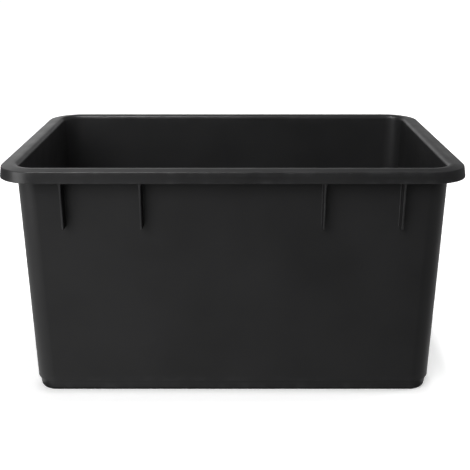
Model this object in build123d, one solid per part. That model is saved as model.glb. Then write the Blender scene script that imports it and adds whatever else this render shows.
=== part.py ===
from build123d import *
import math
import os

# Open rectangular harvest tub: one thin-walled plastic moulding, parted into its named features.
# +X runs along the tub, +Y to its rear, +Z up. The origin is under the middle of the floor. Millimetres.

# Overall sizes
RIM_LENGTH = 600.0
RIM_WIDTH = 400.0
TUB_HEIGHT = 320.0
WALL = 2.5
WALL_DRAFT = 1.1
FLOOR = 3.0

# Rim: a flange that turns out from the wall and falls a little outwards, with a skirt that turns down from it
RIM_DEPTH = 16.0
RIM_OVERHANG = 22.0
RIM_CORNER_RADIUS = 50.0
RIM_WALL = 2.5
RIM_CREST = 9.0
RIM_FALL = 1.6
SKIRT_FLARE = 9.0
RIM_INNER_RADIUS = 6.0
RIM_ROOT_RADIUS = 3.5
RIM_CREST_RADIUS = 15.0
RIM_OUTER_RADIUS = 1.5
SKIRT_BEND_RADIUS = 0.8
SKIRT_LIP_RADIUS = 0.7

# Base edge: a foot that steps in under the wall and rounds into the floor
BASE_EDGE_HEIGHT = 26.0
FOOT_HEIGHT = 16.0
FOOT_STEP = 2.0
FOOT_TAPER = 8.0
FOOT_RADIUS = 5.0
STEP_EDGE_RADIUS = 0.8
STEP_ROOT_RADIUS = 0.6
STEP_INSIDE_RADIUS = 2.0
FLOOR_RADIUS = 4.0
FLOOR_LAP = 1.5

# Ribs: upright gussets under the rim, in a pair beside each corner, a hand's width apart
RIB_INSET = 34.5
RIB_SPACING = 99.5
RIB_THICKNESS = 2.6
RIB_REACH = 62.0
RIB_FOOT = 17.5
RIB_TOE_RADIUS = 3.0
RIB_EDGE_RADIUS = 0.9

# Heights where one feature ends and the next begins
RIM_ROOT = TUB_HEIGHT - RIM_DEPTH
FLANGE_UNDERSIDE = TUB_HEIGHT - RIM_WALL
FLANGE_EDGE = TUB_HEIGHT - RIM_FALL
EDGE_UNDERSIDE = FLANGE_EDGE - RIM_WALL
RIB_END = RIM_ROOT - RIB_REACH

# The upright corners keep one radius, so the straight runs between them shorten towards the base
WALL_CORNER_RADIUS = RIM_CORNER_RADIUS - RIM_OVERHANG
DRAFT_SLOPE = math.tan(math.radians(WALL_DRAFT))
BASE_SHIFT = (RIM_ROOT - BASE_EDGE_HEIGHT) * DRAFT_SLOPE
RIM_CORE = (RIM_LENGTH / 2 - RIM_CORNER_RADIUS, RIM_WIDTH / 2 - RIM_CORNER_RADIUS)
BASE_CORE = (RIM_CORE[0] - BASE_SHIFT, RIM_CORE[1] - BASE_SHIFT)

# Turns about Z from the right side and from the rear right corner
SIDE_TURNS = {"right": 0, "rear": 90, "left": 180, "front": 270}
CORNER_TURNS = {"rear_right": 0, "rear_left": 90, "front_left": 180, "front_right": 270}


def wall_face(height):
    """Outer face of the wall, outwards from the rim's core, at a height."""
    return WALL_CORNER_RADIUS + (height - RIM_ROOT) * DRAFT_SLOPE


def skirt_face(height):
    """Outer face of the skirt, outwards from the rim's core, at a height."""
    return RIM_CORNER_RADIUS - (height - RIM_ROOT) * math.tan(math.radians(SKIRT_FLARE))


def base_wall_face(height):
    """Outer face of the wall above the foot, outwards from the base's core, at a height."""
    return WALL_CORNER_RADIUS + (height - BASE_EDGE_HEIGHT) * DRAFT_SLOPE


def foot_face(height):
    """Outer face of the foot, outwards from the base's core, at a height."""
    top = base_wall_face(FOOT_HEIGHT) - FOOT_STEP
    return top - (FOOT_HEIGHT - height) * math.tan(math.radians(FOOT_TAPER))


FLOOR_CORNER = foot_face(FLOOR) - WALL
FLOOR_EDGE = FLOOR_CORNER - FLOOR_RADIUS - FLOOR_LAP


def section(corners):
    """Face of a section, from (outward distance, height, corner radius) in order around it."""
    points = [(out, height) for out, height, radius in corners]
    radii = [radius for out, height, radius in corners]
    return Plane.XZ * make_face(FilletPolyline(*points, radius=radii, close=True))


def channel_corners():
    """Roof of the channel under the rim, from the wall to the skirt: the ribs fill the same corners."""
    return [
        (wall_face(FLANGE_UNDERSIDE), FLANGE_UNDERSIDE, RIM_ROOT_RADIUS),
        (skirt_face(EDGE_UNDERSIDE) - RIM_WALL, EDGE_UNDERSIDE, SKIRT_BEND_RADIUS),
    ]


def rim_section():
    inside = wall_face(TUB_HEIGHT) - WALL
    return section([
        (wall_face(RIM_ROOT) - WALL, RIM_ROOT, 0),
        (wall_face(RIM_ROOT), RIM_ROOT, 0),
        *channel_corners(),
        (skirt_face(RIM_ROOT) - RIM_WALL, RIM_ROOT, SKIRT_LIP_RADIUS),
        (skirt_face(RIM_ROOT), RIM_ROOT, SKIRT_LIP_RADIUS),
        (skirt_face(FLANGE_EDGE), FLANGE_EDGE, RIM_OUTER_RADIUS),
        (inside + RIM_CREST, TUB_HEIGHT, RIM_CREST_RADIUS),
        (inside, TUB_HEIGHT, RIM_INNER_RADIUS),
    ])


def base_edge_section():
    step_top = FOOT_HEIGHT + WALL
    return section([
        (FLOOR_EDGE, 0, 0),
        (foot_face(0), 0, FOOT_RADIUS),
        (foot_face(FOOT_HEIGHT), FOOT_HEIGHT, STEP_ROOT_RADIUS),
        (base_wall_face(FOOT_HEIGHT), FOOT_HEIGHT, STEP_EDGE_RADIUS),
        (base_wall_face(BASE_EDGE_HEIGHT), BASE_EDGE_HEIGHT, 0),
        (base_wall_face(BASE_EDGE_HEIGHT) - WALL, BASE_EDGE_HEIGHT, 0),
        (base_wall_face(step_top) - WALL, step_top, STEP_INSIDE_RADIUS),
        (foot_face(FOOT_HEIGHT) - WALL, FOOT_HEIGHT, STEP_INSIDE_RADIUS),
        (FLOOR_CORNER, FLOOR, FLOOR_RADIUS),
        (FLOOR_EDGE, FLOOR, 0),
    ])


def side_core(core, side):
    """Distance out to a side's straight run, and half the length of that run."""
    along_y = side in ("left", "right")
    return core if along_y else core[::-1]


def corner_place(core, corner):
    """Where a corner's upright axis stands, with the turn that faces it outwards."""
    x = core[0] if "right" in corner else -core[0]
    y = core[1] if "rear" in corner else -core[1]
    return Pos(x, y, 0) * Rot(0, 0, CORNER_TURNS[corner])


def rail(face, core, side):
    """Straight run of a section along one side."""
    reach, half_run = side_core(core, side)
    run = extrude(face, amount=half_run, dir=(0, 1, 0), both=True)
    return Rot(0, 0, SIDE_TURNS[side]) * Pos(reach, 0, 0) * run


def quarter(face, core, corner):
    """Quarter turn of a section round one corner."""
    return corner_place(core, corner) * revolve(face, Axis.Z, 90)


def wall_panel(side):
    """Flat drafted panel between two upright corners."""
    ends = []
    for core, height in ((BASE_CORE, BASE_EDGE_HEIGHT), (RIM_CORE, RIM_ROOT)):
        reach, half_run = side_core(core, side)
        middle = Pos(reach + WALL_CORNER_RADIUS - WALL / 2, 0, height)
        ends.append(middle * Rectangle(WALL, 2 * half_run))
    return Rot(0, 0, SIDE_TURNS[side]) * loft(ends, ruled=True)


def wall_quarter(corner):
    """Rounded upright corner, leaning out with both of its walls."""
    outer = CenterArc((0, 0), WALL_CORNER_RADIUS, 0, 90)
    inner = CenterArc((0, 0), WALL_CORNER_RADIUS - WALL, 0, 90)
    ring = make_face([outer, inner, Line(inner @ 0, outer @ 0), Line(inner @ 1, outer @ 1)])
    rise = Vector(BASE_SHIFT, BASE_SHIFT, RIM_ROOT - BASE_EDGE_HEIGHT)
    lean = extrude(ring, amount=rise.length, dir=rise)
    return corner_place(BASE_CORE, corner) * Pos(0, 0, BASE_EDGE_HEIGHT) * lean


def rib(side, along):
    """Upright gusset that fills the angle of wall, flange and skirt and ends in a blunt toe."""
    skirt_end = RIM_ROOT + SKIRT_LIP_RADIUS
    profile = section([
        *channel_corners(),
        (skirt_face(skirt_end) - RIM_WALL, skirt_end, 0),
        (wall_face(RIB_END) + RIB_FOOT, RIB_END, RIB_TOE_RADIUS),
        (wall_face(RIB_END), RIB_END, 0),
    ])
    blank = extrude(profile, amount=RIB_THICKNESS / 2, dir=(0, 1, 0), both=True)
    free_edges = [
        edge for edge in blank.edges()
        if abs(edge.center().Y) > RIB_THICKNESS / 4
        and edge.center().Z < RIM_ROOT
        and edge.center().X > wall_face(edge.center().Z) + RIB_THICKNESS / 4
    ]
    plate = fillet(free_edges, min(RIB_EDGE_RADIUS, 0.45 * RIB_THICKNESS))
    reach = side_core(RIM_CORE, side)[0]
    return Rot(0, 0, SIDE_TURNS[side]) * Pos(reach, along, 0) * plate


def floor_panel():
    size = [2 * (half + FLOOR_EDGE) for half in BASE_CORE]
    return extrude(RectangleRounded(*size, FLOOR_EDGE), amount=FLOOR)


def tub_parts():
    parts = {"floor_panel": floor_panel()}
    rim, base_edge = rim_section(), base_edge_section()
    for side in SIDE_TURNS:
        parts[f"{side}_base_edge"] = rail(base_edge, BASE_CORE, side)
        parts[f"{side}_wall"] = wall_panel(side)
        parts[f"{side}_rim"] = rail(rim, RIM_CORE, side)
    for corner in CORNER_TURNS:
        parts[f"{corner}_base_corner"] = quarter(base_edge, BASE_CORE, corner)
        parts[f"{corner}_wall_corner"] = wall_quarter(corner)
        parts[f"{corner}_rim_corner"] = quarter(rim, RIM_CORE, corner)
    outer_rib = RIM_CORE[0] - RIB_INSET
    inner_rib = outer_rib - RIB_SPACING
    for side in ("front", "rear"):
        for number, along in enumerate((-outer_rib, -inner_rib, inner_rib, outer_rib), 1):
            parts[f"{side}_rib_{number}"] = rib(side, along)
    return parts


os.makedirs("parts", exist_ok=True)
for node, solid in tub_parts().items():
    export_step(solid, f"parts/{node}.step")
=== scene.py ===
import math

import bpy
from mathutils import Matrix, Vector


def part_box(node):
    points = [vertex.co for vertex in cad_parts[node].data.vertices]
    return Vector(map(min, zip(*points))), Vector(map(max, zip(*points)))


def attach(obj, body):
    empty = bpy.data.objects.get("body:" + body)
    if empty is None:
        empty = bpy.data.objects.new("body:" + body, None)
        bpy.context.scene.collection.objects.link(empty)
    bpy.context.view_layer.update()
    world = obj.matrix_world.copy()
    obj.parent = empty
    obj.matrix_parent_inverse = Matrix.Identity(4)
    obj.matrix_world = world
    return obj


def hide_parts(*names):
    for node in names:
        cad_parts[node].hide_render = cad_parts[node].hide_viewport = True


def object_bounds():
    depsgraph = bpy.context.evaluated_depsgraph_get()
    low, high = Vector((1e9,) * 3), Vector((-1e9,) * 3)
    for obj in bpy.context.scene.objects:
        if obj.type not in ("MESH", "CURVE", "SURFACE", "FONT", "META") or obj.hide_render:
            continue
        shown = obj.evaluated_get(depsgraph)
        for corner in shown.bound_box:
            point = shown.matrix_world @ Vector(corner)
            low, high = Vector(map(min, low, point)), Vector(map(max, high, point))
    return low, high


# Open harvest tub in satin black plastic: a seamless shell, and ribs under its rim, in a white studio.
# +X runs along the tub, +Y to its rear, +Z up. Metres, unless a heading says otherwise.

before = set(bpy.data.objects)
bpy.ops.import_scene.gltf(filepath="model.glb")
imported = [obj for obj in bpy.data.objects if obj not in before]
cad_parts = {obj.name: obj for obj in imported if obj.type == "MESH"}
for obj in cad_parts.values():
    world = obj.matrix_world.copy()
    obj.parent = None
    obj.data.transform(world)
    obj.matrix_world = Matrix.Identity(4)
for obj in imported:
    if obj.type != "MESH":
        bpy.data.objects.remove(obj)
cad_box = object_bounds()

# Sizes that the frame gives
FRONT_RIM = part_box("front_rim")
RIGHT_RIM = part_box("right_rim")
RIGHT_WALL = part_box("right_wall")
FRONT_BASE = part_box("front_base_edge")
RIGHT_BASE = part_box("right_base_edge")
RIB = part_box("front_rib_1")
TUB_HEIGHT = RIGHT_RIM[1].z
TUB_MIDDLE = Vector((0, 0, TUB_HEIGHT / 2))
RIM_ROOT = RIGHT_RIM[0].z
BASE_TOP = RIGHT_BASE[1].z
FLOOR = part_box("floor_panel")[1].z
RIB_END = RIB[0].z
RIB_THICKNESS = RIB[1].x - RIB[0].x

# The straight runs between the upright corners, as half lengths along X and Y
RIM_CORE = Vector((FRONT_RIM[1].x, RIGHT_RIM[1].y))
BASE_CORE = Vector((FRONT_BASE[1].x, RIGHT_BASE[1].y))

# The upright corners, which keep one radius, and the drafted wall
WALL_CORNER_RADIUS = RIGHT_WALL[1].x - RIM_CORE.x
WALL = WALL_CORNER_RADIUS - (RIGHT_RIM[0].x - RIM_CORE.x)
DRAFT_SLOPE = (RIM_CORE.x - BASE_CORE.x) / (RIM_ROOT - BASE_TOP)

# Section sizes, in metres and degrees
RIM_CORNER_RADIUS = 0.050
RIM_WALL = 0.0025
RIM_CREST = 0.009
RIM_FALL = 0.0016
SKIRT_FLARE = 9
RIM_INNER_RADIUS = 0.006
RIM_ROOT_RADIUS = 0.0035
RIM_CREST_RADIUS = 0.015
RIM_OUTER_RADIUS = 0.0015
SKIRT_BEND_RADIUS = 0.0008
SKIRT_LIP_RADIUS = 0.0007
FOOT_HEIGHT = 0.016
FOOT_STEP = 0.002
FOOT_TAPER = 8
FOOT_RADIUS = 0.005
STEP_EDGE_RADIUS = 0.0008
STEP_ROOT_RADIUS = 0.0006
STEP_INSIDE_RADIUS = 0.002
FLOOR_RADIUS = 0.004
RIB_FOOT = 0.0175
RIB_TOE_RADIUS = 0.003
RIB_EDGE_RADIUS = 0.0009
RIB_ROOT_RADIUS = 0.0014
RIB_SINK = 0.001

# Heights of the flange: its underside at the wall, its outer edge, and the underside there
FLANGE_UNDERSIDE = TUB_HEIGHT - RIM_WALL
FLANGE_EDGE = TUB_HEIGHT - RIM_FALL
EDGE_UNDERSIDE = FLANGE_EDGE - RIM_WALL

# Heights of the skirt's middle, of the lower end of a rib's seat in the skirt, and of a rib's sunk top
SKIRT_MIDDLE = (RIM_ROOT + FLANGE_EDGE) / 2
SKIRT_END = RIM_ROOT + SKIRT_LIP_RADIUS
RIB_TOP = FLANGE_UNDERSIDE + RIB_SINK

# Ribs: how many on a side, and which way along Y that side faces
RIBS_PER_SIDE = 4
SIDES = {"front": -1, "rear": 1}

# Mesh density
ARC_STEP = math.radians(11)
ARC_LEAST_STEPS = 2
CORNER_STEPS = 16
LONG_STEPS = 40
SHORT_STEPS = 26
WALL_ROWS = 22
RIB_TOE_STEPS = 10
RIB_PLAIN_STEPS = 14
RIB_CHANNEL_STEPS = 10
RIB_COLUMN_STEPS = 24
BACKDROP_STEPS = 48
FLAT_FACE_WEIGHT = 100

# Edge wear with a painted highlight along the edges, as a share
NO_WEAR_NO_HIGHLIGHT = 0.0
HALF_WEAR_AND_HIGHLIGHT = 0.5
FULL_WEAR_AND_HIGHLIGHT = 1.0

# Plastic: its colours, how much of them scuffs and the edge wear with its painted highlight show, its
# roughness, and how much scuffs add to that
DARK_PLASTIC = (0.017, 0.017, 0.0175)
LIGHT_PLASTIC = (0.022, 0.022, 0.0225)
SCUFF_COLOUR = (0.032, 0.032, 0.033)
WEAR_AND_HIGHLIGHT_COLOUR = (0.045, 0.045, 0.047)
SCUFF_SHARE = 0.5
WEAR_AND_HIGHLIGHT_SHARE = 0.6
ROUGHNESS = (0.34, 0.42)
SCUFF_ROUGHNESS = 0.08
SPECULAR_LEVEL = 0.40

# Studio floor: its reach, the height of its backdrop, and the width of the painted shadow round the tub's
# foot
FLOOR_REACH = 20.0
BACKDROP_HEIGHT = 15.0
PAINTED_SHADOW_WIDTH = 0.014

# How strongly the floor glows: at the foot, where the glow is turned down as a painted shadow; past that
# painted shadow; and from a far distance on
PAINTED_SHADOW_GLOW = 0.36
FLOOR_GLOW = 0.58
FAR_GLOW = 1.0
FAR_DISTANCE = 1.3
FLOOR_GREY = 0.90
FLOOR_ROUGHNESS = 0.9

# Card under the foot
CARD_MARGIN = 0.006
CARD_DEPTH = 0.0005
CARD_GREY = 0.1

# Surroundings: how strongly each part of the white studio glows
LEFT_BACKDROP_GLOW = 1.28
RIGHT_BACKDROP_GLOW = 0.95
REAR_GROUND_GLOW = 0.52
FRONT_GROUND_GLOW = 0.64
RIGHT_GROUND_GLOW = 0.22

# Spans of a direction's X, Y or Z that the surroundings fade over
LEFT_TO_RIGHT = (-0.4, 0.4)
MIDDLE_TO_RIGHT_GROUND = (0.2, 0.7)
FRONT_TO_BACKDROP = (0.1, 0.9)
FRONT_TO_REAR_GROUND = (-0.7, 0.6)
FRONT_GROUND_TO_REAR = (-0.4, 0.9)
RIGHT_GROUND_TO_REAR = (-0.6, -0.05)
BACKDROP_FOOT = (-0.05, 0.15)
LEFT_BACKDROP_TOP = (0.1, 0.7)
RIGHT_BACKDROP_TOP = (0.1, 0.3)
REAR_GROUND_TOP = (-0.3, -0.1)
FRONT_GROUND_TOP = (-0.5, 0.0)

# Camera: its place from the front of the rim, its pitch down in degrees and its lens in millimetres
CAMERA_DISTANCE = 1.0140
CAMERA_ABOVE_RIM = 0.2579
CAMERA_SIDE = 0.0030
CAMERA_PITCH = 18.552
CAMERA_LENS = 64.81


def wall_face(height):
    """Outer face of the wall, outwards from the rim's core, at a height."""
    return WALL_CORNER_RADIUS + (height - RIM_ROOT) * DRAFT_SLOPE


def skirt_face(height):
    """Outer face of the skirt, outwards from the rim's core, at a height."""
    return RIM_CORNER_RADIUS - (height - RIM_ROOT) * math.tan(math.radians(SKIRT_FLARE))


def base_wall_face(height):
    """Outer face of the wall above the foot, outwards from the base's core, at a height."""
    return WALL_CORNER_RADIUS + (height - BASE_TOP) * DRAFT_SLOPE


def foot_face(height):
    """Outer face of the foot, outwards from the base's core, at a height."""
    top = base_wall_face(FOOT_HEIGHT) - FOOT_STEP
    return top - (FOOT_HEIGHT - height) * math.tan(math.radians(FOOT_TAPER))


def core_at(height):
    """Half lengths of the straight runs at a height: they shorten down the drafted walls."""
    share = (height - BASE_TOP) / (RIM_ROOT - BASE_TOP)
    return BASE_CORE.lerp(RIM_CORE, min(max(share, 0.0), 1.0))


def rounded_corner(before, corner, after, radius):
    """Points along the arc that rounds one corner of a section."""
    towards_before = (before - corner).normalized()
    towards_after = (after - corner).normalized()
    half = towards_before.angle(towards_after) / 2
    centre = corner + (towards_before + towards_after).normalized() * (radius / math.sin(half))
    start = corner + towards_before * (radius / math.tan(half)) - centre
    end = corner + towards_after * (radius / math.tan(half)) - centre
    clockwise = start.angle_signed(end)
    steps = max(ARC_LEAST_STEPS, math.ceil(abs(clockwise) / ARC_STEP))
    points = []
    for step in range(steps + 1):
        angle = -clockwise * step / steps
        x = start.x * math.cos(angle) - start.y * math.sin(angle)
        y = start.x * math.sin(angle) + start.y * math.cos(angle)
        points.append(centre + Vector((x, y)))
    return points


def rounded_line(corners):
    """Points of a section line and their share of edge wear and painted edge highlight, from (outward,
    height, radius, wear and highlight) of each corner.
    """
    spots = [Vector(corner[:2]) for corner in corners]
    line = []
    for place, (spot, (out, height, radius, wear_and_highlight)) in enumerate(zip(spots, corners)):
        if radius:
            arc = rounded_corner(spots[place - 1], spot, spots[place + 1], radius)
            line.extend((point, wear_and_highlight) for point in arc)
        else:
            line.append((spot, wear_and_highlight))
    return line


def shell_line():
    """The moulding's whole section: under the floor, up the outside, over the rim and down the inside."""
    rows = [BASE_TOP + (RIM_ROOT - BASE_TOP) * row / WALL_ROWS for row in range(WALL_ROWS + 1)]
    step_top = FOOT_HEIGHT + WALL
    outside = [(WALL_CORNER_RADIUS, height, 0, NO_WEAR_NO_HIGHLIGHT) for height in rows]
    inside = [(WALL_CORNER_RADIUS - WALL, height, 0, NO_WEAR_NO_HIGHLIGHT) for height in reversed(rows)]
    # The last entry of each corner is its share of edge wear and of a painted highlight along that edge.
    return rounded_line([
        (FLOOR_RADIUS, 0, 0, NO_WEAR_NO_HIGHLIGHT),
        (foot_face(0), 0, FOOT_RADIUS, FULL_WEAR_AND_HIGHLIGHT),
        (foot_face(FOOT_HEIGHT), FOOT_HEIGHT, STEP_ROOT_RADIUS, NO_WEAR_NO_HIGHLIGHT),
        (base_wall_face(FOOT_HEIGHT), FOOT_HEIGHT, STEP_EDGE_RADIUS, HALF_WEAR_AND_HIGHLIGHT),
        *outside,
        (wall_face(FLANGE_UNDERSIDE), FLANGE_UNDERSIDE, RIM_ROOT_RADIUS, NO_WEAR_NO_HIGHLIGHT),
        (skirt_face(EDGE_UNDERSIDE) - RIM_WALL, EDGE_UNDERSIDE, SKIRT_BEND_RADIUS, NO_WEAR_NO_HIGHLIGHT),
        (skirt_face(RIM_ROOT) - RIM_WALL, RIM_ROOT, SKIRT_LIP_RADIUS, HALF_WEAR_AND_HIGHLIGHT),
        (skirt_face(RIM_ROOT), RIM_ROOT, SKIRT_LIP_RADIUS, FULL_WEAR_AND_HIGHLIGHT),
        (skirt_face(SKIRT_MIDDLE), SKIRT_MIDDLE, 0, NO_WEAR_NO_HIGHLIGHT),
        (skirt_face(FLANGE_EDGE), FLANGE_EDGE, RIM_OUTER_RADIUS, FULL_WEAR_AND_HIGHLIGHT),
        (wall_face(TUB_HEIGHT) - WALL + RIM_CREST, TUB_HEIGHT, RIM_CREST_RADIUS, NO_WEAR_NO_HIGHLIGHT),
        (wall_face(TUB_HEIGHT) - WALL, TUB_HEIGHT, RIM_INNER_RADIUS, HALF_WEAR_AND_HIGHLIGHT),
        *inside,
        (base_wall_face(step_top) - WALL, step_top, STEP_INSIDE_RADIUS, NO_WEAR_NO_HIGHLIGHT),
        (foot_face(FOOT_HEIGHT) - WALL, FOOT_HEIGHT, STEP_INSIDE_RADIUS, NO_WEAR_NO_HIGHLIGHT),
        (foot_face(FLOOR) - WALL, FLOOR, FLOOR_RADIUS, NO_WEAR_NO_HIGHLIGHT),
        (FLOOR_RADIUS, FLOOR, 0, NO_WEAR_NO_HIGHLIGHT),
    ])


def ring(out, height):
    """Rounded rectangle at one point of the section, anticlockwise from the front of the right side."""
    core = core_at(height)
    corners = [(1, 1), (-1, 1), (-1, -1), (1, -1)]
    points = []
    for side, (x_sign, y_sign) in enumerate(corners):
        steps = LONG_STEPS if side % 2 else SHORT_STEPS
        normal = side * math.pi / 2
        end = Vector((core.x * x_sign, core.y * y_sign))
        start = Vector((core.x * corners[side - 1][0], core.y * corners[side - 1][1]))
        outward = Vector((math.cos(normal), math.sin(normal))) * out
        for step in range(steps):
            points.append((*(start.lerp(end, step / steps) + outward), height))
        for step in range(CORNER_STEPS):
            angle = normal + math.pi / 2 * step / CORNER_STEPS
            points.append((*(end + Vector((math.cos(angle), math.sin(angle))) * out), height))
    return points


def floor_grid(height):
    """Grid of points inside the floor's core, as rows along X."""
    core = core_at(height)
    return [
        [
            (core.x * (2 * i / LONG_STEPS - 1), core.y * (2 * j / SHORT_STEPS - 1), height)
            for i in range(LONG_STEPS + 1)
        ]
        for j in range(SHORT_STEPS + 1)
    ]


def grid_border():
    """Row and column of the floor grid beside each point of a ring, in the ring's order."""
    border = []
    runs = [
        ([(j, LONG_STEPS) for j in range(SHORT_STEPS)], (SHORT_STEPS, LONG_STEPS)),
        ([(SHORT_STEPS, i) for i in range(LONG_STEPS, 0, -1)], (SHORT_STEPS, 0)),
        ([(j, 0) for j in range(SHORT_STEPS, 0, -1)], (0, 0)),
        ([(0, i) for i in range(LONG_STEPS)], (0, LONG_STEPS)),
    ]
    for run, corner in runs:
        border.extend(run)
        border.extend([corner] * CORNER_STEPS)
    return border


def joined_faces(first, second):
    """Faces between two closed rings of vertex numbers, as quads, or triangles where vertices coincide."""
    faces = []
    for place in range(len(first)):
        following = (place + 1) % len(first)
        corners = [first[place], first[following], second[following], second[place]]
        faces.append(list(dict.fromkeys(corners)))
    return [face for face in faces if len(face) > 2]


def new_object(name, data):
    """Object that holds some data, linked into the scene."""
    made = bpy.data.objects.new(name, data)
    bpy.context.scene.collection.objects.link(made)
    return made


def new_piece(name, points, faces, wear_and_highlight):
    """Smooth mesh object that rides on the tub, with its edge wear and painted edge highlight as a point
    attribute.
    """
    mesh = bpy.data.meshes.new(name)
    mesh.from_pydata(points, [], faces)
    attribute = mesh.attributes.new("wear_and_highlight", "FLOAT", "POINT")
    attribute.data.foreach_set("value", wear_and_highlight)
    mesh.shade_smooth()
    mesh.validate()
    piece = new_object(name, mesh)
    even = piece.modifiers.new("flat faces stay flat", "WEIGHTED_NORMAL")
    even.weight = FLAT_FACE_WEIGHT
    even.keep_sharp = True
    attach(piece, "root")
    return piece


def add_floor_face(points, faces, wear_and_highlight, edge_ring, height, upward):
    """Closes the section's open end with a flat floor grid."""
    rows = []
    for row in floor_grid(height):
        rows.append(list(range(len(points), len(points) + len(row))))
        points.extend(row)
        wear_and_highlight.extend([NO_WEAR_NO_HIGHLIGHT] * len(row))
    border = [rows[j][i] for j, i in grid_border()]
    faces.extend(joined_faces(edge_ring, border) if upward else joined_faces(border, edge_ring))
    for lower, upper in zip(rows, rows[1:]):
        for i in range(LONG_STEPS):
            face = [lower[i], lower[i + 1], upper[i + 1], upper[i]]
            faces.append(face if upward else face[::-1])


def tub_shell():
    """Floor, foot, walls and rim as one seamless moulding."""
    points, faces, wear_and_highlight, rings = [], [], [], []
    for point, point_wear_and_highlight in shell_line():
        loop = ring(point.x, point.y)
        rings.append(list(range(len(points), len(points) + len(loop))))
        points.extend(loop)
        wear_and_highlight.extend([point_wear_and_highlight] * len(loop))
    for lower, upper in zip(rings, rings[1:]):
        faces.extend(joined_faces(lower, upper))
    add_floor_face(points, faces, wear_and_highlight, rings[0], 0.0, False)
    add_floor_face(points, faces, wear_and_highlight, rings[-1], FLOOR, True)
    shell = new_piece("tub_shell", points, faces, wear_and_highlight)
    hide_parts(*[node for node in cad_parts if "_rib_" not in node])
    return shell


def fillet_rise(distance, radius):
    """How far a fillet of that radius stands off its face, at a distance from its corner."""
    reach = min(max(distance, 0.0), radius)
    return radius - math.sqrt(radius ** 2 - (radius - reach) ** 2)


def rib_front(height):
    """Free front edge of a rib, or its seat in the skirt, outwards from the rim's core."""
    if height >= SKIRT_END:
        return skirt_face(height) - RIM_WALL + RIB_SINK
    top = skirt_face(SKIRT_END) - RIM_WALL
    toe = wall_face(RIB_END) + RIB_FOOT
    line = toe + (top - toe) * (height - RIB_END) / (SKIRT_END - RIB_END)
    return line - fillet_rise(height - RIB_END, RIB_TOE_RADIUS)


def channel_roof(out):
    """Underside of the flange at a distance outwards from the rim's core."""
    root = wall_face(FLANGE_UNDERSIDE)
    bend = skirt_face(EDGE_UNDERSIDE) - RIM_WALL
    return FLANGE_UNDERSIDE - RIM_FALL * (out - root) / (bend - root)


def rib_half_thickness(out, height):
    """Half the rib's thickness at a point: it swells into its roots and rounds off at its free edges."""
    half = RIB_THICKNESS / 2
    half += fillet_rise(out - wall_face(height), RIB_ROOT_RADIUS)
    half += fillet_rise(channel_roof(out) - height, RIB_ROOT_RADIUS)
    if height >= SKIRT_END:
        return half + fillet_rise(skirt_face(height) - RIM_WALL - out, RIB_ROOT_RADIUS)
    half -= fillet_rise(rib_front(height) - out, RIB_EDGE_RADIUS)
    return half - fillet_rise(height - RIB_END, RIB_EDGE_RADIUS)


def rib_heights():
    """Rows of a rib from its toe up, closer together round the toe and under the flange."""
    toe_top = RIB_END + RIB_TOE_RADIUS
    rows = []
    for step in range(RIB_TOE_STEPS):
        rows.append(RIB_END + RIB_TOE_RADIUS * (1 - math.cos(math.pi / 2 * step / RIB_TOE_STEPS)))
    for step in range(RIB_PLAIN_STEPS):
        rows.append(toe_top + (SKIRT_END - toe_top) * step / RIB_PLAIN_STEPS)
    for step in range(RIB_CHANNEL_STEPS + 1):
        rows.append(SKIRT_END + (RIB_TOP - SKIRT_END) * math.sin(math.pi / 2 * step / RIB_CHANNEL_STEPS))
    return rows


def under_flange(out, height):
    """Height of a rib's point, drawn down in the channel to follow the falling flange."""
    if height <= SKIRT_END:
        return height
    share = (height - SKIRT_END) / (RIB_TOP - SKIRT_END)
    return SKIRT_END + (channel_roof(out) + RIB_SINK - SKIRT_END) * share


def rib_columns(height):
    """Points across a rib, from inside the wall to its front edge, closer together at both ends."""
    start = wall_face(height) - RIB_SINK
    width = rib_front(height) - start
    turns = [math.pi * step / RIB_COLUMN_STEPS for step in range(RIB_COLUMN_STEPS + 1)]
    return [start + width * (1 - math.cos(turn)) / 2 for turn in turns]


def rib_points(middle, outward):
    """Points of a rib's left and then its right face, row by row, and the share of edge wear and painted
    edge highlight of each point.
    """
    points, wear_and_highlight = [], []
    for face_sign in (-1, 1):
        for height in rib_heights():
            for out in rib_columns(height):
                rise = under_flange(out, height)
                half = rib_half_thickness(out, rise)
                points.append((middle + face_sign * half, outward * (RIM_CORE.y + out), rise))
                # A rib's free edges get edge wear and a painted highlight.
                free = height < RIM_ROOT and rib_front(height) - out < RIB_EDGE_RADIUS
                wear_and_highlight.append(FULL_WEAR_AND_HIGHLIGHT if free else NO_WEAR_NO_HIGHLIGHT)
    return points, wear_and_highlight


def front_rib_faces(rows, columns):
    """Faces of a rib on the front wall: its left and right faces, and the strip between their outlines."""
    right = rows * columns
    faces = []
    for row in range(rows - 1):
        for column in range(columns - 1):
            first = row * columns + column
            face = [first, first + columns, first + columns + 1, first + 1]
            faces.append(face[::-1])
            faces.append([right + vertex for vertex in face])
    outline = [row * columns for row in range(rows)]
    outline += [(rows - 1) * columns + column for column in range(1, columns)]
    outline += [row * columns + columns - 1 for row in range(rows - 2, -1, -1)]
    outline += range(columns - 2, 0, -1)
    for place, first in enumerate(outline):
        second = outline[(place + 1) % len(outline)]
        faces.append([second, right + second, right + first, first])
    return faces


def rib_piece(side, number):
    """One upright gusset under the rim, with filleted roots and a rounded front edge."""
    node = f"{side}_rib_{number}"
    low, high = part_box(node)
    points, wear_and_highlight = rib_points((low.x + high.x) / 2, SIDES[side])
    faces = front_rib_faces(len(rib_heights()), RIB_COLUMN_STEPS + 1)
    if side == "rear":
        faces = [face[::-1] for face in faces]
    piece = new_piece(f"rib_{side}_{number}", points, faces, wear_and_highlight)
    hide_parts(node)
    return piece


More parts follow.
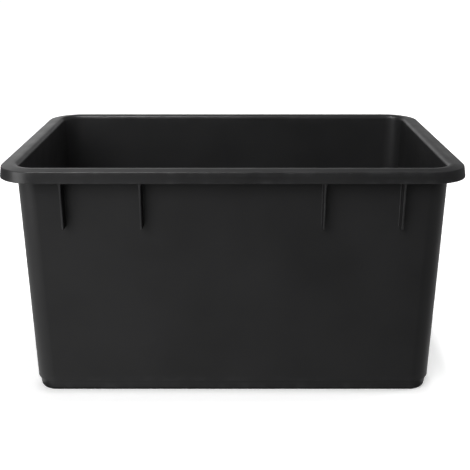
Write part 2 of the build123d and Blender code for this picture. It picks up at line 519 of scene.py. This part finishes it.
def map_range(tree, value, span, target=(0, 1), curve="LINEAR"):
    """Node output that carries a value from a span to a target range, and holds it past both ends."""
    node = tree.nodes.new("ShaderNodeMapRange")
    node.interpolation_type = curve
    node.inputs["From Min"].default_value = span[0]
    node.inputs["From Max"].default_value = span[1]
    node.inputs["To Min"].default_value = target[0]
    node.inputs["To Max"].default_value = target[1]
    tree.links.new(value, node.inputs["Value"])
    return node.outputs["Result"]


def combined(tree, operation, *values):
    """Node output that combines node outputs and plain numbers, two at a time."""
    total = values[0]
    for value in values[1:]:
        node = tree.nodes.new("ShaderNodeMath")
        node.operation = operation
        for socket, term in zip(node.inputs, (total, value)):
            if isinstance(term, float):
                socket.default_value = term
            else:
                tree.links.new(term, socket)
        total = node.outputs["Value"]
    return total


def mixed(tree, share, first, second):
    """Node output that goes from a first colour to a second one: each is a plain colour or a node output."""
    node = tree.nodes.new("ShaderNodeMix")
    node.data_type = "RGBA"
    for socket, colour in ((node.inputs["A"], first), (node.inputs["B"], second)):
        if isinstance(colour, tuple):
            socket.default_value = (*colour, 1)
        else:
            tree.links.new(colour, socket)
    tree.links.new(share, node.inputs["Factor"])
    return node.outputs["Result"]


def noise(tree, scale, detail, squeeze=(1, 1, 1)):
    """Node output with noise that stays on the object, squeezed along X, Y and Z."""
    mapping = tree.nodes.new("ShaderNodeMapping")
    mapping.inputs["Scale"].default_value = squeeze
    place = tree.nodes.new("ShaderNodeTexCoord").outputs["Object"]
    tree.links.new(place, mapping.inputs["Vector"])
    texture = tree.nodes.new("ShaderNodeTexNoise")
    texture.inputs["Scale"].default_value = scale
    texture.inputs["Detail"].default_value = detail
    tree.links.new(mapping.outputs["Vector"], texture.inputs["Vector"])
    return texture.outputs["Fac"]


def bump(tree, height, strength, depth):
    """Bump node for a height pattern of a depth."""
    node = tree.nodes.new("ShaderNodeBump")
    node.inputs["Strength"].default_value = strength
    node.inputs["Distance"].default_value = depth
    tree.links.new(height, node.inputs["Height"])
    return node


def black_plastic():
    """Satin black moulded plastic with fine grain, slow ripples, faint level scuffs, and edges paler from
    wear and a painted highlight.
    """
    material = bpy.data.materials.new("black_plastic")
    material.use_nodes = True
    tree = material.node_tree
    shader = tree.nodes["Principled BSDF"]

    patches = map_range(tree, noise(tree, scale=9, detail=4), span=(0.35, 0.65))
    colour = mixed(tree, patches, DARK_PLASTIC, LIGHT_PLASTIC)
    scuffs = map_range(tree, noise(tree, scale=30, detail=6, squeeze=(1, 1, 14)), span=(0.66, 0.80))
    colour = mixed(tree, combined(tree, "MULTIPLY", scuffs, SCUFF_SHARE), colour, SCUFF_COLOUR)
    # Paler edges: partly wear, partly a painted highlight along the rounded edges, made patchy with noise.
    edges = tree.nodes.new("ShaderNodeAttribute")
    edges.attribute_name = "wear_and_highlight"
    wear_and_highlight_patches = map_range(tree, noise(tree, scale=60, detail=5), span=(0.45, 0.7), target=(0.1, 1))
    edge_wear_and_highlight = combined(tree, "MULTIPLY", edges.outputs["Fac"], wear_and_highlight_patches)
    colour = mixed(tree, combined(tree, "MULTIPLY", edge_wear_and_highlight, WEAR_AND_HIGHLIGHT_SHARE), colour, WEAR_AND_HIGHLIGHT_COLOUR)
    tree.links.new(colour, shader.inputs["Base Color"])

    sheen = map_range(tree, noise(tree, scale=25, detail=5), span=(0.3, 0.7), target=ROUGHNESS)
    roughness = combined(tree, "ADD", sheen, combined(tree, "MULTIPLY", scuffs, SCUFF_ROUGHNESS))
    tree.links.new(roughness, shader.inputs["Roughness"])
    shader.inputs["Specular IOR Level"].default_value = SPECULAR_LEVEL

    grain = bump(tree, noise(tree, scale=1100, detail=2), strength=0.25, depth=0.0002)
    ripple = bump(tree, noise(tree, scale=14, detail=2), strength=0.10, depth=0.0015)
    tree.links.new(grain.outputs["Normal"], ripple.inputs["Normal"])
    tree.links.new(ripple.outputs["Normal"], shader.inputs["Normal"])
    return material


def plain_paint(name, grey):
    """Material of one plain grey."""
    paint = bpy.data.materials.new(name)
    paint.use_nodes = True
    paint.node_tree.nodes["Principled BSDF"].inputs["Base Color"].default_value = (grey, grey, grey, 1)
    return paint


def distance_from_core(tree):
    """Node output with the distance from the base's core, which is the same all along the foot's outline."""
    vector = tree.nodes.new("ShaderNodeTexCoord").outputs["Object"]
    nothing = (0, 0, 0)
    for operation, other in (("ABSOLUTE", nothing), ("SUBTRACT", (*BASE_CORE, 0)), ("MAXIMUM", nothing)):
        node = tree.nodes.new("ShaderNodeVectorMath")
        node.operation = operation
        tree.links.new(vector, node.inputs[0])
        node.inputs[1].default_value = other
        vector = node.outputs["Vector"]
    length = tree.nodes.new("ShaderNodeVectorMath")
    length.operation = "LENGTH"
    tree.links.new(vector, length.inputs[0])
    return length.outputs["Value"]


def floor_white():
    """Matt white that glows and so stays white far away, with less glow close round the tub's foot as a
    painted contact shadow.
    """
    paint = plain_paint("studio_white", FLOOR_GREY)
    tree = paint.node_tree
    shader = tree.nodes["Principled BSDF"]
    shader.inputs["Roughness"].default_value = FLOOR_ROUGHNESS
    shader.inputs["Specular IOR Level"].default_value = 0.0
    shader.inputs["Emission Color"].default_value = (1, 1, 1, 1)
    distance = distance_from_core(tree)
    # Painted contact shadow: the glow falls towards the foot over a narrow band.
    painted_shadow_end = foot_face(0) + PAINTED_SHADOW_WIDTH
    glow_in_painted_shadow = map_range(tree, distance, span=(foot_face(0), painted_shadow_end), target=(PAINTED_SHADOW_GLOW, FLOOR_GLOW))
    far_glow = map_range(tree, distance, span=(painted_shadow_end, FAR_DISTANCE), target=(0, FAR_GLOW - FLOOR_GLOW))
    tree.links.new(combined(tree, "ADD", glow_in_painted_shadow, far_glow), shader.inputs["Emission Strength"])
    return paint


def pale_floor():
    """White studio floor that turns up into a round backdrop far away."""
    turns = [2 * math.pi * step / BACKDROP_STEPS for step in range(BACKDROP_STEPS)]
    points = []
    for height in (0, BACKDROP_HEIGHT):
        points.extend((FLOOR_REACH * math.cos(turn), FLOOR_REACH * math.sin(turn), height) for turn in turns)
    floor_edge = list(range(BACKDROP_STEPS))
    backdrop_edge = list(range(BACKDROP_STEPS, 2 * BACKDROP_STEPS))
    mesh = bpy.data.meshes.new("studio_floor")
    mesh.from_pydata(points, [], [floor_edge, *joined_faces(floor_edge, backdrop_edge)])
    mesh.materials.append(floor_white())
    floor = new_object("studio_floor", mesh)
    floor.visible_diffuse = False
    floor.visible_glossy = False
    floor.visible_shadow = False


def foot_card():
    """Grey card under the tub, a little wider than its foot, that keeps light from below off the foot."""
    far_x = BASE_CORE.x + foot_face(0) + CARD_MARGIN
    far_y = BASE_CORE.y + foot_face(0) + CARD_MARGIN
    corners = [(-far_x, -far_y), (far_x, -far_y), (far_x, far_y), (-far_x, far_y)]
    mesh = bpy.data.meshes.new("foot_card")
    mesh.from_pydata([(*corner, -CARD_DEPTH) for corner in corners], [], [(0, 1, 2, 3)])
    mesh.materials.append(plain_paint("card_grey", CARD_GREY))
    card = new_object("foot_card", mesh)
    card.visible_camera = False


def soft_light(name, place, size, power, glossy=True, diffuse=True):
    """Square area light of a power in watts that faces the middle of the tub."""
    light = bpy.data.lights.new(name, "AREA")
    light.shape = "SQUARE"
    light.size = size
    light.energy = power
    lamp = new_object(name, light)
    lamp.location = place
    lamp.rotation_euler = (TUB_MIDDLE - Vector(place)).to_track_quat("-Z", "Y").to_euler()
    lamp.visible_camera = False
    lamp.visible_glossy = glossy
    lamp.visible_diffuse = diffuse


def surroundings():
    """White studio as soft gradients: a backdrop that fades out overhead, and pale ground round the tub."""
    world = bpy.data.worlds.new("studio")
    world.use_nodes = True
    tree = world.node_tree
    background = tree.nodes["Background"]
    direction = tree.nodes.new("ShaderNodeSeparateXYZ")
    tree.links.new(tree.nodes.new("ShaderNodeTexCoord").outputs["Generated"], direction.inputs["Vector"])

    def rising(axis, span, top=1):
        return map_range(tree, direction.outputs[axis], span, target=(0, top), curve="SMOOTHSTEP")

    def falling(axis, span, top=1):
        return map_range(tree, direction.outputs[axis], span, target=(top, 0), curve="SMOOTHSTEP")

    def overlap(*gradients):
        return combined(tree, "MULTIPLY", *gradients)

    backdrop = overlap(rising("Y", FRONT_TO_BACKDROP), rising("Z", BACKDROP_FOOT))
    left_half = falling("X", LEFT_TO_RIGHT, LEFT_BACKDROP_GLOW)
    right_half = rising("X", LEFT_TO_RIGHT, RIGHT_BACKDROP_GLOW)
    left_backdrop = overlap(backdrop, falling("Z", LEFT_BACKDROP_TOP), left_half)
    right_backdrop = overlap(backdrop, falling("Z", RIGHT_BACKDROP_TOP), right_half)
    rear_ground = overlap(rising("Y", FRONT_TO_REAR_GROUND, REAR_GROUND_GLOW), falling("Z", REAR_GROUND_TOP))
    left_side = falling("X", LEFT_TO_RIGHT, FRONT_GROUND_GLOW)
    front_ground = overlap(falling("Y", FRONT_GROUND_TO_REAR), falling("Z", FRONT_GROUND_TOP), left_side)
    right_side = rising("X", MIDDLE_TO_RIGHT_GROUND, RIGHT_GROUND_GLOW)
    right_ground = overlap(right_side, falling("Y", RIGHT_GROUND_TO_REAR), falling("Z", FRONT_GROUND_TOP))
    parts = (left_backdrop, right_backdrop, rear_ground, front_ground, right_ground)
    glow = combined(tree, "ADD", *parts)
    tree.links.new(glow, background.inputs["Strength"])
    background.inputs["Color"].default_value = (1, 1, 1, 1)
    bpy.context.scene.world = world


def studio():
    """White surroundings, a key light, lamps overhead and on the right, and panels for the rim to mirror."""
    surroundings()
    soft_light("key", place=(-1.0, -2.6, 1.95), size=2.2, power=83, glossy=False)
    soft_light("overhead", place=(0.0, 0.0, 4.0), size=0.4, power=78, glossy=False)
    soft_light("right_fill", place=(2.4, 0.4, 0.5), size=1.0, power=28, glossy=False)
    soft_light("left_panel", place=(-1.2, -0.85, 0.5), size=0.7, power=8, diffuse=False)
    soft_light("top_panel", place=(-0.45, -0.2, 1.8), size=0.6, power=16, diffuse=False)
    bpy.context.scene.view_settings.view_transform = "Standard"


def photo_camera():
    """Camera at the photograph's viewing angle, square to the tub's front and pitched down."""
    camera = bpy.data.cameras.new("photo_camera")
    camera.lens = CAMERA_LENS
    holder = new_object("photo_camera", camera)
    front = cad_box[0][1]
    holder.location = (CAMERA_SIDE, front - CAMERA_DISTANCE, TUB_HEIGHT + CAMERA_ABOVE_RIM)
    holder.rotation_euler = (math.radians(90 - CAMERA_PITCH), 0, 0)
    bpy.context.scene.camera = holder


plastic = black_plastic()
pieces = [tub_shell()]
for rib_side in SIDES:
    for rib_number in range(1, RIBS_PER_SIDE + 1):
        pieces.append(rib_piece(rib_side, rib_number))
for made_piece in pieces:
    made_piece.data.materials.append(plastic)
pale_floor()
foot_card()
studio()
photo_camera()
